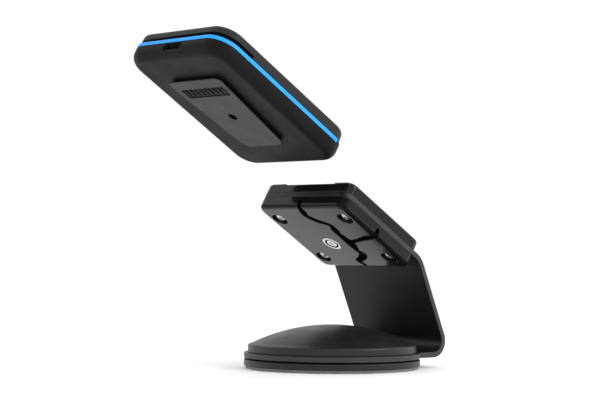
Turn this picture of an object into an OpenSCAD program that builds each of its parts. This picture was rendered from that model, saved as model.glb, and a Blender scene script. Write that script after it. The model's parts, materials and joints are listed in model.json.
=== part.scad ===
// Card payment terminal in a protective case, with its locking slide dock and swivel stand.
// Millimetres. Origin: centre of the round base, on the surface it rests on. +Z is up.
// The upright stands on the -Y side of the base and the dock rises towards +Y.
// Dock frame: x across, y along the head plate from its bend, z square to its top face.
// Terminal frame: the same directions, from the low end of the case, z = 0 under the coloured band.

/* [Round base] */
// Diameter of the base disc and of the stand's round foot
base_d = 128; // [110:1:150]
// Height of the rubber foot pad
foot_pad_h = 2; // [1:0.5:4]
// Thickness of the fixed base disc
disc_t = 4.6; // [4:0.2:8]
// Height of the gap in which the stand swivels
swivel_gap = 0.95; // [0.8:0.05:1.5]
// Height of the dome's top above the resting surface
dome_top = 31.6; // [28:0.2:40]

/* [Bent stand plate] */
// Thickness of the bent steel plate
plate_t = 4; // [3:0.5:6]
// Width of the bent steel plate and of the dock
plate_w = 89.4; // [84:0.2:100]
// Distance from the swivel axis to the inner corner of the lower bend
foot_reach = 73.5; // [73.5:0.5:85]
// Length of the upright between its two inner corners
upright_len = 72.9; // [60:0.1:120]
// Lean of the upright from the vertical, towards the dock
upright_lean = 23.9; // [10:0.1:30]
// Tilt of the head plate from the horizontal
head_tilt = 31.5; // [20:0.5:45]
// Inside radius of the lower bend
bend_low_r = 8; // [6:0.5:9]
// Inside radius of the upper bend
bend_high_r = 14; // [8:0.5:16]

/* [Dock] */
// Length of the dock along the head plate
dock_len = 83.2; // [80:0.2:96]
// Height of the tray's side rails above the head plate
rail_h = 8.4; // [8.2:0.1:9]
// Height of the slide channel's floor above the head plate
channel_floor = 6.3; // [6.2:0.1:6.4]
// Depth of the lower cover below the head plate
cover_h = 8.8; // [8:0.2:12]
// Distance between dock screws across the dock
screw_span_x = 68; // [60:1:70]
// Distance between dock screws along the dock
screw_span_y = 52.6; // [48:0.2:56]
// Widening of the cable channels beyond their drawn width
cable_extra = 0; // [-0.5:0.1:0.5]
// Diameter of the lock's outer ring
lock_d = 15; // [14:0.5:16]

/* [Terminal] */
// Width of the case
case_w = 100; // [96:1:110]
// Length of the case
case_len = 135.6; // [134:0.2:150]
// Depth of the lower case below the coloured band
case_depth = 9.8; // [9:0.2:14]
// Corner radius of the case in plan
case_r = 16.5; // [14:0.5:18]
// Rounding of the lower case's bottom edge
case_round = 7.2; // [5:0.2:8]
// Height of the coloured band
band_h = 2.8; // [2:0.2:3]
// Height of the top face above the band's lower edge
top_h = 12.2; // [11.4:0.1:12.8]
// Height of the card swipe slot
slot_h = 3.4; // [2.6:0.1:3.6]
// Depth of the card swipe slot from the high end
slot_depth = 31; // [24:1:34]
// Distance the terminal slides from the docked place to the one shown
slide_travel = 127.9; // [100:0.1:140]

/* [Keys] */
// Width of one key
key_w = 23; // [16:1:25]
// Length of one key
key_l = 9.4; // [7:0.2:10]
// Distance between key columns
key_pitch_x = 28; // [27:1:28]
// Distance between key rows
key_pitch_y = 12.6; // [12:0.2:13]
// Travel of one key
key_travel = 1; // [0.4:0.1:1.2]

/* [Hidden] */
$fn = 96;
eps = 0.01;
base_r = base_d / 2;
plate_z = foot_pad_h + disc_t + swivel_gap;
plate_top = plate_z + plate_t;

// Bends: corners where the inner faces would meet, then the lengths that the bends take off
low_corner = [-foot_reach, plate_top];
up_dir = [sin(upright_lean), cos(upright_lean)];
head_dir = [cos(head_tilt), sin(head_tilt)];
head_up = [-sin(head_tilt), cos(head_tilt)];
high_corner = low_corner + upright_len * up_dir;
low_turn = 90 + upright_lean;
high_turn = 90 - upright_lean - head_tilt;
low_tangent = bend_low_r * tan(low_turn / 2);
high_tangent = bend_high_r * tan(high_turn / 2);
head_origin = high_corner + high_tangent * head_dir + plate_t * head_up;

// Swivel
swivel_r = 6;
swivel_head_r = 12;
swivel_head_h = 2.4;
swivel_sink = 0.4;
nut_r = 9;
nut_h = 5;
washer_r = 13;
swivel_washer_r = 30;
washer_t = 1.2;
running = 0.05;

// Dome and ballast
dome_r = 61.2;
dome_sphere_r = 132;
dome_wall = 2.4;
ballast_r = 45;
ballast_bore_r = 17;
ballast_h = 8;
base_screw_r = 2;
base_screw_ring = 53;
ballast_screw_ring = 31;
boss_h = 6;

// Dock
dock_r = 7.3;
tray_skin = 1;
tray_wall = 3;
boss_wall = 2.5;
screw_x = screw_span_x / 2;
screw_y0 = 13.9;
screw_y1 = screw_y0 + screw_span_y;
screw_shank_r = 2.5;
screw_head_r = 4.7;
screw_head_h = 2.8;
screw_dome_r = 5.4;
hex_r = 1.8;
hex_depth = 1.6;
counterbore_r = 6;
counterbore_depth = 3.6;
cable_depth = 4;
cable_join = 0.25;
// Routes as x, y and width at each turn, from the high end to the low end and from the middle to one side
cable_route = [[0, dock_len + 2, 5], [0.2, 77, 6], [1.8, 73, 5.4], [1, 69, 5.6], [-3.2, 64.2, 5.2],
    [-7.8, 61.2, 4.4], [-11.4, 58.4, 4.2], [-12, 55.2, 4.4], [-10.9, 51, 6.6], [-10.2, 47, 5.2],
    [-11, 41, 6.8], [-11.4, 33, 8.4], [-10.6, 28, 6.2], [-10, 23.2, 4], [-11.4, 18.6, 6.4],
    [-6, 13, 5.6], [0.4, 9.4, 4.6], [-0.8, 4, 3.4], [-1, -2, 3]];
cable_branch = [[-12, 35, 5], [-19.8, 37, 3.8], [-25, 38.4, 3.8], [-31.6, 40.4, 5.2], [-38.5, 41.8, 5.2],
    [-44, 42.6, 4], [-plate_w / 2 - 2, 43.4, 4]];
notch_h = 2.2;
notch_in = 5;
notch_w = 4;

// Lock: the key plug turns a stepped face cam, which lifts the bolt into the slide plate
lock_pos = [8, 33.5];
lock_proud = 0.4;
lock_r = lock_d / 2;
plug_r = 4.9;
bolt_pos = [0, 40.1];
bolt_r = 2.95;
bolt_low = 1.5;
bolt_high = 6;
bolt_lift = 3;
cam_plate_low = 0.3;
cam_plate_high = 1;
cam_offset = bolt_pos - lock_pos;
cam_radius = norm(cam_offset);
cam_angle = atan2(cam_offset[1], cam_offset[0]);
cam_steps = 9;
cam_ramp_w = 2.8;
keyway_w = 1;
keyway_l = 5.2;
keyway_depth = 6;
bolt_tip_r = 1.2;

// Terminal in the dock frame
plate_proud = 2.8;
slide_plate_lift = 0.2;
term_z = channel_floor + slide_plate_lift + plate_proud + case_depth;
wedge_low_y = 29.2;
wedge_high_y = 108;
wedge_low_half = 20.1;
wedge_high_half = 27.3;
wedge_low_r = 6.5;
wedge_high_r = 4.5;
wedge_slope = (wedge_high_half - wedge_low_half) / (wedge_high_y - wedge_low_y);
wedge_end_gap = 0.4;
channel_low_y = 4;
pad_x = 13;
pad_w = 6;
pad_low_y = 12;
pad_high_y = 72;
pad_sink = 0.6;
pad_gap = 0.1;
pad_rise = 0.08;
term_y = slide_travel + channel_low_y + wedge_end_gap - wedge_low_y;
wedge_hole_y = bolt_pos[1] + slide_travel - term_y;
flange_t = 1.1;
neck_inset = 1.8;
channel_gap = 0.3;
lip_gap = 0.15;
bolt_play = 0.45;
label_x = -0.5;
label_y = 89.2;
label_w = 43;
label_l = 9.6;
label_depth = 0.7;
plate_screw_x = 12;
plate_screw_y = [48, 91];
plate_screw_r = 1.25;
plate_screw_in = 1.6;
plate_screw_head_r = 2.3;
plate_screw_head_h = 0.6;

// Case
wall = 2;
top_inset = 1.2;
top_round = 3;
top_skin = 1.8;
slot_z = band_h + 0.1;
slot_y = case_len - slot_depth;
slot_back = 2;
slot_side = 2.5;
guide_low = 1.2;
guide_in = 2;
mag_x = 20;
mag_w = 12;
mag_l = 5;
mag_in = 5;
mag_r = 0.8;
mag_low = 0.8;
mag_gap = 0.1;
band_end_y = 11.4;
band_t = 1.6;
port_x = -1;
port_w = 14.4;
port_h = 3.2;
port_z = -3.6;
port_frame_w = 18.6;
port_frame_h = 6;
port_frame_z = -4.1;
port_frame_depth = 1.2;
card_w = 56;
card_gap = 2.2;
card_z = 0.3;

// Inside the case
board_w = 88;
board_r = 4;
board_y = 6;
board_l = 94;
board_low = 3.6;
board_t = 1.6;
membrane_t = 0.9;
keypad_y = 10;
keypad_l = 68;
keypad_w = 82;
battery_w = 54;
battery_l = 74;
battery_y = 24;
battery_low = 0.7 + wall - case_depth;
battery_t = 5.5;
reader_side = 3;
reader_skin = 0.5;
reader_y = 3.5;
reader_l = 54.5;
port_in = 2.8;
port_board_w = 26;
port_board_y = 106;
port_board_low = -1.8;
port_board_t = 1.2;
usb_w = 9;
usb_l = 10;
usb_h = 3.2;
usb_skin = 0.4;
usb_back = 2;
speaker_x = 32;
speaker_y = 111;
speaker_r = 9;
speaker_h = 4;
antenna_w = 70;
antenna_y = 79;
antenna_l = 22;
antenna_low = 6.4;
antenna_t = 0.8;
antenna_track = 5;

// Top face
window_w = 72;
window_l = 46;
window_y = 102.8;
window_t = 1.2;
window_r = 3;
window_seat = 3;
screen_in = 4;
screen_t = 2.4;
key_top_y = 70.2;
key_action_y = 18.4;
key_rows = concat([for (i = [0:3]) key_top_y - key_pitch_y * i], [key_action_y]);
key_hole_gap = 0.3;
key_low = top_h - 3.8;
key_flange_t = 0.8;
key_flange = 0.7;
key_high = top_h + 0.8;
key_corner = 2;
button_y = 68;
button_z = 8;
button_w = 12;
button_h = 2.6;
button_proud = 1;
button_depth = 3;
button_flange = 0.7;
switch_x = 43.2;
switch_w = 3;

// Frames

// Places children in the dock frame
module on_head() {
    translate([0, head_origin[0], head_origin[1]])
        rotate([head_tilt, 0, 0])
            children();
}

// Places children in the terminal frame
module on_terminal() {
    on_head()
        translate([0, term_y, term_z])
            children();
}

// Turns a drawing in the plane of y and z into a solid of the given width, centred on x
module across(width) {
    translate([-width / 2, 0, 0])
        rotate([90, 0, 90])
            linear_extrude(width)
                children();
}

// Shapes

// Rectangle with rounded corners, centred on x, from y = 0 to y = length
module round_rect(width, length, r) {
    translate([-width / 2, r])
        square([width, length - 2 * r]);
    translate([-width / 2 + r, 0])
        square([width - 2 * r, length]);
    for (x = [-width / 2 + r, width / 2 - r], y = [r, length - r])
        translate([x, y])
            circle(r);
}

// Rounded plate from height low to height high
module slab(width, length, r, low, high) {
    translate([0, 0, low])
        linear_extrude(high - low)
            round_rect(width, length, r);
}

// Plain block centred on x
module block(x, width, y0, y1, low, high) {
    translate([x - width / 2, y0, low])
        cube([width, y1 - y0, high - low]);
}

// Points of an arc round centre c
function arc(c, r, from, to, steps = 8) =
    [for (i = [0:steps]) c + r * [cos(from + (to - from) * i / steps), sin(from + (to - from) * i / steps)]];

// Outline that narrows towards its low end, with four rounded corners, shrunk by inset
function wedge_points(inset) =
    let (slope_angle = atan(wedge_slope),
        half = wedge_low_half - inset / cos(slope_angle),
        y0 = wedge_low_y + inset,
        y1 = wedge_high_y - inset,
        r0 = wedge_low_r - inset,
        r1 = wedge_high_r - inset,
        low_y = y0 + r0,
        high_y = y1 - r1,
        low_x = half + wedge_slope * (low_y - wedge_low_y) - r0 / cos(slope_angle),
        high_x = half + wedge_slope * (high_y - wedge_low_y) - r1 / cos(slope_angle))
    concat(arc([low_x, low_y], r0, -90, -slope_angle),
        arc([high_x, high_y], r1, -slope_angle, 90),
        arc([-high_x, high_y], r1, 90, 180 + slope_angle),
        arc([-low_x, low_y], r0, 180 + slope_angle, 270));

// Round puck whose bottom edge is rounded
module puck(r, round, height) {
    rotate_extrude($fn = 40)
        polygon(concat([[0, 0]], arc([r - round, round], round, -90, 0, 6), [[r, height], [0, height]]));
}

// Box with rounded corners in plan and a rounded bottom edge, from low to high
module soft_box(width, length, r, round, low, high) {
    translate([0, 0, low])
        hull()
            for (x = [-width / 2 + r, width / 2 - r], y = [r, length - r])
                translate([x, y, 0])
                    puck(r, round, high - low);
}

// Side outline of the bent strip, from the swivel axis to half way along the head plate
function strip_side(offset) =
    let (low_centre = [low_tangent - foot_reach, plate_top + bend_low_r],
        high_centre = head_origin - (bend_high_r + plate_t) * head_up)
    concat([[0, plate_top - offset]],
        arc(low_centre, bend_low_r + offset, 270, 180 - upright_lean, 20),
        arc(high_centre, bend_high_r + offset, 180 - upright_lean, 90 + head_tilt, 12),
        [head_origin + dock_len / 2 * head_dir + (offset - plate_t) * head_up]);

function reversed(points) = [for (i = [len(points) - 1:-1:0]) points[i]];

// Places children at the four dock screws, in the dock frame
module at_dock_screws() {
    for (x = [-screw_x, screw_x], y = [screw_y0, screw_y1])
        translate([x, y, 0])
            children();
}

// Places children at the base screws: three for the dome, three for the ballast
module at_base_screws() {
    for (i = [0:2]) {
        rotate([0, 0, 30 + 120 * i])
            translate([base_screw_ring, 0, 0])
                children();
        rotate([0, 0, 90 + 120 * i])
            translate([ballast_screw_ring, 0, 0])
                children();
    }
}

// Groove along a route of runs that change width, a little wider where they join
module groove(route) {
    for (i = [0:len(route) - 2]) {
        a = route[i];
        b = route[i + 1];
        length = norm([b[0] - a[0], b[1] - a[1]]);
        side = [a[1] - b[1], b[0] - a[0]] / length / 2;
        half_a = (a[2] + cable_extra) * side;
        half_b = (b[2] + cable_extra) * side;
        start = [a[0], a[1]];
        end = [b[0], b[1]];
        polygon([start + half_a, start - half_a, end - half_b, end + half_b]);
        translate(end)
            circle((b[2] + cable_extra) / 2 + cable_join, $fn = 32);
    }
}

// Base, which stays still

module foot_pad() {
    pad_r = base_r - 1.4;
    color([0.55, 0.55, 0.55])
        rotate_extrude()
            polygon([[0, 0], [pad_r - 0.8, 0], [pad_r, 0.8], [pad_r, foot_pad_h], [0, foot_pad_h]]);
}

module base_disc() {
    color([0.13, 0.13, 0.13])
        translate([0, 0, foot_pad_h])
            difference() {
                cylinder(r = base_r, h = disc_t);
                translate([0, 0, -eps])
                    cylinder(r = swivel_head_r + 0.2, h = swivel_sink + swivel_head_h + running);
                cylinder(r = swivel_r + eps, h = disc_t + 1);
            }
}

module swivel_bolt() {
    head_z = foot_pad_h + swivel_sink;
    color([0.7, 0.7, 0.72])
        translate([0, 0, head_z]) {
            cylinder(r = swivel_head_r, h = swivel_head_h);
            cylinder(r = swivel_r - running, h = plate_top + washer_t + nut_h + 1 - head_z);
        }
}

module swivel_washer() {
    color([0.85, 0.85, 0.8])
        translate([0, 0, foot_pad_h + disc_t])
            difference() {
                cylinder(r = swivel_washer_r, h = swivel_gap - running);
                translate([0, 0, -1])
                    cylinder(r = swivel_r + 0.3, h = swivel_gap + 2);
            }
}

module thrust_washer() {
    color([0.75, 0.75, 0.75])
        translate([0, 0, plate_top + running])
            difference() {
                cylinder(r = washer_r, h = washer_t);
                translate([0, 0, -1])
                    cylinder(r = swivel_r + 0.2, h = washer_t + 2);
            }
}

module swivel_nut() {
    color([0.7, 0.7, 0.72])
        translate([0, 0, plate_top + running + washer_t])
            difference() {
                cylinder(r = nut_r, h = nut_h, $fn = 6);
                translate([0, 0, -1])
                    cylinder(r = swivel_r - running, h = nut_h + 2);
            }
}

// Stand

module stand_plate() {
    color([0.16, 0.16, 0.16])
        difference() {
            union() {
                translate([0, 0, plate_z])
                    cylinder(r = base_r, h = plate_t);
                across(plate_w)
                    polygon(concat(strip_side(0), reversed(strip_side(plate_t))));
                on_head()
                    slab(plate_w, dock_len, dock_r, -plate_t, 0);
            }
            translate([0, 0, plate_z - 1])
                cylinder(r = swivel_r + running, h = plate_t + 2);
            at_base_screws()
                translate([0, 0, plate_z - 1])
                    cylinder(r = base_screw_r + 0.3, h = plate_t + 2);
            at_base_screws()
                translate([0, 0, plate_z - eps])
                    cylinder(r1 = 2 * base_screw_r + 0.2, r2 = base_screw_r, h = base_screw_r);
            on_head() {
                at_dock_screws()
                    translate([0, 0, -plate_t - 1])
                        cylinder(r = screw_shank_r + 0.2, h = plate_t + 2);
                translate([lock_pos[0], lock_pos[1], -plate_t - 1])
                    cylinder(r = lock_r + 0.3, h = plate_t + 2);
            }
        }
}

module dome_cover() {
    color([0.14, 0.14, 0.14]) {
        translate([0, 0, plate_top])
            rotate_extrude()
                difference() {
                    intersection() {
                        square([dome_r, dome_top - plate_top]);
                        translate([0, dome_top - dome_sphere_r - plate_top])
                            circle(dome_sphere_r, $fn = 360);
                    }
                    intersection() {
                        translate([-1, -1])
                            square([dome_r - dome_wall + 1, dome_top]);
                        translate([0, dome_top - dome_sphere_r - plate_top])
                            circle(dome_sphere_r - dome_wall, $fn = 360);
                    }
                }
        for (i = [0:2])
            rotate([0, 0, 30 + 120 * i])
                translate([base_screw_ring, 0, plate_top])
                    difference() {
                        cylinder(r = 2 * base_screw_r, h = boss_h);
                        translate([0, 0, -1])
                            cylinder(r = base_screw_r, h = boss_h);
                    }
    }
}

module ballast_weight() {
    color([0.4, 0.4, 0.42])
        translate([0, 0, plate_top])
            difference() {
                cylinder(r = ballast_r, h = ballast_h);
                translate([0, 0, -1])
                    cylinder(r = ballast_bore_r, h = ballast_h + 2);
                for (i = [0:2])
                    rotate([0, 0, 90 + 120 * i])
                        translate([ballast_screw_ring, 0, -1])
                            cylinder(r = base_screw_r, h = boss_h);
            }
}

module base_screws() {
    color([0.7, 0.7, 0.72])
        at_base_screws()
            translate([0, 0, plate_z + 0.2]) {
                cylinder(r = base_screw_r, h = plate_t + 4);
                cylinder(r1 = 2 * base_screw_r - 0.2, r2 = base_screw_r, h = base_screw_r - 0.2);
            }
}

// Dock

// Slide channel in the dock frame: the wedge outline at the docked place, open at the high end
module channel(inset, low, high) {
    docked_y = term_y - slide_travel;
    mouth_low = wedge_low_y + 20;
    mouth_high = wedge_high_y + 20;
    translate([0, docked_y, low])
        linear_extrude(high - low)
            union() {
                polygon(wedge_points(inset));
                polygon([for (side = [-1, 1], y = side > 0 ? [mouth_low, mouth_high] : [mouth_high, mouth_low])
                    [side * (wedge_low_half - inset + wedge_slope * (y - wedge_low_y)), y]]);
            }
}

module dock_tray() {
    underside = channel_floor - tray_skin;
    color([0.12, 0.12, 0.12])
        on_head()
            difference() {
                slab(plate_w, dock_len, dock_r, 0, rail_h);
                channel(-channel_gap, channel_floor, channel_floor + slide_plate_lift + flange_t + lip_gap);
                channel(neck_inset - channel_gap, channel_floor, rail_h + 1);
                difference() {
                    translate([0, tray_wall, -1])
                        linear_extrude(underside + 1)
                            round_rect(plate_w - 2 * tray_wall, dock_len - 2 * tray_wall, dock_r - tray_wall);
                    at_dock_screws()
                        translate([0, 0, -2])
                            cylinder(r = screw_shank_r + boss_wall, h = underside + 3);
                    translate([bolt_pos[0], bolt_pos[1], underside - tray_skin])
                        cylinder(r = bolt_r + boss_wall, h = tray_skin + 1);
                }
                at_dock_screws()
                    translate([0, 0, -1])
                        cylinder(r = screw_shank_r, h = underside);
                translate([bolt_pos[0], bolt_pos[1], 0])
                    cylinder(r = bolt_r + running, h = rail_h + 1);
                for (x = [-pad_x, pad_x])
                    block(x, pad_w + 2 * pad_gap, pad_low_y - pad_gap, pad_high_y + pad_gap,
                        channel_floor - pad_sink, channel_floor + 1);
            }
}

module channel_pads() {
    color([0.3, 0.3, 0.3])
        on_head()
            for (x = [-pad_x, pad_x])
                block(x, pad_w, pad_low_y, pad_high_y, channel_floor - pad_sink, channel_floor + pad_rise);
}

module dock_cover() {
    face = -plate_t - cover_h;
    branch_y = cable_branch[len(cable_branch) - 1][1];
    color([0.11, 0.11, 0.11])
        on_head()
            difference() {
                slab(plate_w, dock_len, dock_r, face, -plate_t);
                translate([0, 0, face - 1])
                    linear_extrude(cable_depth + 1) {
                        groove(cable_route);
                        groove(cable_branch);
                    }
                block(cable_route[0][0], notch_w, dock_len - notch_in, dock_len + 1,
                    face - 1, -plate_t - notch_h);
                block(-plate_w / 2, 2 * notch_in, branch_y - notch_w / 2, branch_y + notch_w / 2,
                    face - 1, -plate_t - notch_h);
                at_dock_screws() {
                    translate([0, 0, face - 1])
                        cylinder(r = screw_shank_r + 0.2, h = cover_h + 2);
                    translate([0, 0, face - 1])
                        cylinder(r = counterbore_r, h = counterbore_depth + 1);
                }
                translate([lock_pos[0], lock_pos[1], face - 1])
                    cylinder(r = lock_r + 0.1, h = cover_h + 2);
            }
}

module dock_screws() {
    seat = -plate_t - cover_h + counterbore_depth;
    color([0.75, 0.75, 0.75])
        on_head()
            at_dock_screws()
                difference() {
                    union() {
                        translate([0, 0, seat - screw_head_h])
                            intersection() {
                                cylinder(r = screw_head_r, h = screw_head_h);
                                translate([0, 0, screw_dome_r])
                                    sphere(screw_dome_r, $fn = 64);
                            }
                        translate([0, 0, seat - 0.5])
                            cylinder(r = screw_shank_r, h = channel_floor - 2 * tray_skin - seat);
                    }
                    translate([0, 0, seat - screw_head_h - 1])
                        cylinder(r = hex_r, h = hex_depth + 1, $fn = 6);
                }
}

// Lock

module at_lock() {
    on_head()
        translate([lock_pos[0], lock_pos[1], 0])
            children();
}

module lock_housing() {
    low = -plate_t - cover_h - lock_proud;
    color([0.78, 0.78, 0.78])
        at_lock()
            difference() {
                translate([0, 0, low])
                    cylinder(r = lock_r, h = -low - 0.2);
                translate([0, 0, low - 1])
                    cylinder(r = plug_r + running, h = -low + 2);
            }
}

module lock_plug() {
    low = -plate_t - cover_h - lock_proud + 0.2;
    color([0.8, 0.8, 0.8])
        at_lock()
            difference() {
                translate([0, 0, low])
                    cylinder(r = plug_r, h = cam_plate_low - low);
                block(0, keyway_w, -keyway_l / 2, keyway_l / 2, low - 1, low + keyway_depth);
            }
}

module lock_cam() {
    step = 90 / cam_steps;
    taper = 0.03;
    color([0.7, 0.65, 0.4])
        at_lock() {
            translate([0, 0, cam_plate_low])
                cylinder(r = cam_radius + cam_ramp_w, h = cam_plate_high - cam_plate_low);
            // Each layer of the ramp starts a step later than the one below and is a little narrower
            for (i = [1:cam_steps - 1])
                rotate([0, 0, cam_angle - 90 + taper * i])
                    translate([0, 0, cam_plate_high - 0.2])
                        rotate_extrude(angle = 90 - step * i - 2 * taper * i)
                            translate([cam_radius - cam_ramp_w / 2 + taper * i, 0])
                                square([cam_ramp_w - 2 * taper * i, 0.2 + bolt_lift * i / cam_steps]);
        }
}

module lock_bolt() {
    tip_h = 1.1;
    color([0.75, 0.75, 0.75])
        on_head()
            translate([bolt_pos[0], bolt_pos[1], bolt_low]) {
                cylinder(r = bolt_tip_r, h = tip_h + 0.1);
                translate([0, 0, tip_h])
                    cylinder(r = bolt_r, h = bolt_high - bolt_low - tip_h);
            }
}

// Terminal case

module case_back() {
    floor_z = -case_depth + wall;
    color([0.19, 0.19, 0.19])
        on_terminal()
            difference() {
                soft_box(case_w, case_len, case_r, case_round, -case_depth, band_h);
                translate([0, wall, 0])
                    soft_box(case_w - 2 * wall, case_len - 2 * wall, case_r - wall, case_round - wall,
                        floor_z, band_h + 1);
                // Step that the coloured band sits on, along both sides and the high end
                difference() {
                    block(0, case_w + 2, band_end_y, case_len + 1, 0, band_h + 1);
                    slab(case_w - 2 * band_t, case_len - band_t, case_r - band_t, -1, band_h + 2);
                }
                block(port_x, port_w, case_len - 5, case_len + 1, port_z - port_h / 2, port_z + port_h / 2);
                block(port_x, port_frame_w, case_len - port_frame_depth, case_len + 1,
                    port_frame_z - port_frame_h / 2, port_frame_z + port_frame_h / 2);
                block(0, card_w, -1, 5, card_z, card_z + card_gap);
                for (x = [-plate_screw_x, plate_screw_x], y = plate_screw_y)
                    translate([x, y, -case_depth - 1])
                        cylinder(r = plate_screw_r + 0.35, h = wall + 2);
            }
}

module slide_plate() {
    low = -case_depth - plate_proud;
    color([0.31, 0.31, 0.31])
        on_terminal()
            difference() {
                union() {
                    translate([0, 0, low])
                        linear_extrude(flange_t)
                            polygon(wedge_points(0));
                    translate([0, 0, low + flange_t - eps])
                        linear_extrude(plate_proud - flange_t + eps)
                            polygon(wedge_points(neck_inset));
                }
                translate([0, wedge_hole_y, low - 1])
                    cylinder(r = bolt_r + bolt_play, h = plate_proud + 2);
                block(label_x, label_w, label_y, label_y + label_l, low - 1, low + label_depth);
                for (x = [-plate_screw_x, plate_screw_x], y = plate_screw_y)
                    translate([x, y, -case_depth - plate_screw_in - 0.2])
                        cylinder(r = plate_screw_r, h = plate_proud);
            }
}

module plate_screws() {
    color([0.7, 0.7, 0.72])
        on_terminal()
            for (x = [-plate_screw_x, plate_screw_x], y = plate_screw_y)
                translate([x, y, 0]) {
                    translate([0, 0, -case_depth - plate_screw_in])
                        cylinder(r = plate_screw_r, h = wall + plate_screw_in);
                    translate([0, 0, -case_depth + wall])
                        cylinder(r = plate_screw_head_r, h = plate_screw_head_h);
                }
}

module accent_band() {
    color([0.12, 0.62, 1])
        on_terminal()
            intersection() {
                difference() {
                    translate([0, -0.2, 0])
                        slab(case_w + 0.4, case_len + 0.4, case_r + 0.2, 0, band_h);
                    slab(case_w - 2 * band_t, case_len - band_t, case_r - band_t, -1, band_h + 1);
                }
                block(0, case_w + 4, band_end_y, case_len + 2, -1, band_h + 1);
            }
}

module swipe_guide() {
    color([0.05, 0.06, 0.09])
        on_terminal()
            difference() {
                union() {
                    intersection() {
                        translate([0, guide_in, 0])
                            slab(case_w - 2 * guide_in - 0.4, case_len - 2 * guide_in, case_r - guide_in,
                                guide_low, slot_z);
                        block(0, case_w, slot_y - slot_back, case_len, 0, slot_z + 1);
                    }
                    block(0, case_w - 2 * top_inset - 2 * slot_side, slot_y - slot_back, slot_y,
                        guide_low, slot_z + slot_h);
                }
                block(mag_x, mag_w + 4 * mag_gap, slot_y + mag_in - mag_gap, slot_y + mag_in + mag_l + mag_gap,
                    0, slot_z + 1);
            }
}

module mag_head() {
    color([0.6, 0.6, 0.62])
        on_terminal() {
            block(mag_x, mag_w, slot_y + mag_in, slot_y + mag_in + mag_l, mag_low, slot_z + 2 * mag_gap);
            translate([mag_x - mag_w / 2, slot_y + mag_in + mag_l / 2, slot_z])
                rotate([0, 90, 0])
                    cylinder(r = mag_r, h = mag_w, $fn = 32);
        }
}

module key_hole(x, y) {
    translate([x, y - key_l / 2 - key_hole_gap, 0])
        slab(key_w + 2 * key_hole_gap, key_l + 2 * key_hole_gap, key_corner + key_hole_gap,
            key_low + key_flange_t, top_h + 2);
}

module top_cover() {
    outer_w = case_w - 2 * top_inset;
    outer_l = case_len - 2 * top_inset;
    r = case_r - top_inset;
    color([0.2, 0.2, 0.2])
        on_terminal()
            difference() {
                translate([0, top_inset, 0])
                    translate([0, outer_l, band_h + top_h])
                        rotate([180, 0, 0])
                            soft_box(outer_w, outer_l, r, top_round, band_h, top_h);
                // Card swipe slot, open at both sides and at the high end
                block(0, case_w, slot_y, case_len + 1, 0, slot_z + slot_h);
                // Room inside for the screen, the keys and the boards
                difference() {
                    translate([0, top_inset + wall, 0])
                        slab(outer_w - 2 * wall, outer_l - 2 * wall, r - wall, 0, top_h - top_skin);
                    block(0, case_w, slot_y, case_len, 0, slot_z + slot_h + 1);
                }
                block(0, outer_w - 2 * slot_side + 0.2, slot_y - slot_back - 0.1, slot_y + 0.1, 0, slot_z + slot_h);
                translate([0, window_y - window_l / 2 - 0.2, 0])
                    slab(window_w + 0.4, window_l + 0.4, window_r + 0.2, top_h - window_t, top_h + 1);
                block(0, window_w - 2 * window_seat, window_y - window_l / 2 + window_seat,
                    window_y + window_l / 2 - window_seat, top_h - top_skin - 1, top_h + 1);
                for (row = [0:4], col = [-1:1])
                    key_hole(col * key_pitch_x, key_rows[row]);
                translate([outer_w / 2 - button_depth - 1, button_y, button_z])
                    rotate([0, 90, 0])
                        linear_extrude(button_depth + 2)
                            pill(button_w + 0.4, button_h + 0.4);
            }
}

// Pill outline, long along y and narrow along x
module pill(length, width) {
    square([width, length - width], center = true);
    for (side = [-1, 1])
        translate([0, side * (length - width) / 2])
            circle(width / 2, $fn = 32);
}

module display_window() {
    color([0.02, 0.02, 0.03])
        on_terminal()
            translate([0, window_y - window_l / 2, 0])
                slab(window_w, window_l, window_r, top_h - window_t, top_h);
}

module display_module() {
    color([0.2, 0.22, 0.25])
        on_terminal()
            block(0, window_w - 2 * screen_in, window_y - window_l / 2 + screen_in,
                window_y + window_l / 2 - screen_in, top_h - window_t - screen_t, top_h - window_t);
}

module keypad_membrane() {
    color([0.5, 0.5, 0.5])
        on_terminal()
            translate([0, keypad_y, 0])
                slab(keypad_w, keypad_l, board_r, key_low - key_travel - membrane_t, key_low - key_travel);
}

module main_board() {
    color([0.1, 0.35, 0.18])
        on_terminal()
            translate([0, board_y, 0])
                slab(board_w, board_l, 2 * board_r, board_low, board_low + board_t);
}

module battery() {
    color([0.35, 0.37, 0.4])
        on_terminal()
            translate([0, battery_y, 0])
                slab(battery_w, battery_l, board_r, battery_low, battery_low + battery_t);
}

module chip_reader() {
    color([0.6, 0.6, 0.62])
        on_terminal()
            difference() {
                block(0, card_w + 2 * reader_side, reader_y, reader_y + reader_l, card_z - reader_side / 2,
                    card_z + card_gap + reader_skin);
                block(0, card_w, 1, reader_y + reader_l - reader_side, card_z, card_z + card_gap);
            }
}

module port_board() {
    color([0.1, 0.35, 0.18])
        on_terminal()
            block(port_x, port_board_w, port_board_y, case_len - port_in,
                port_board_low, port_board_low + port_board_t);
}

module usb_connector() {
    usb_end = case_len - port_in;
    color([0.75, 0.75, 0.77])
        on_terminal()
            difference() {
                block(port_x, usb_w, usb_end - usb_l, usb_end, port_board_low - usb_h, port_board_low);
                block(port_x, usb_w - 2 * usb_skin, usb_end - usb_l + usb_back, usb_end + 1,
                    port_board_low - usb_h + usb_skin, port_board_low - usb_skin);
            }
}

module speaker() {
    color([0.15, 0.15, 0.15])
        on_terminal()
            translate([speaker_x, speaker_y, battery_low])
                cylinder(r = speaker_r, h = speaker_h);
}

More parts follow.
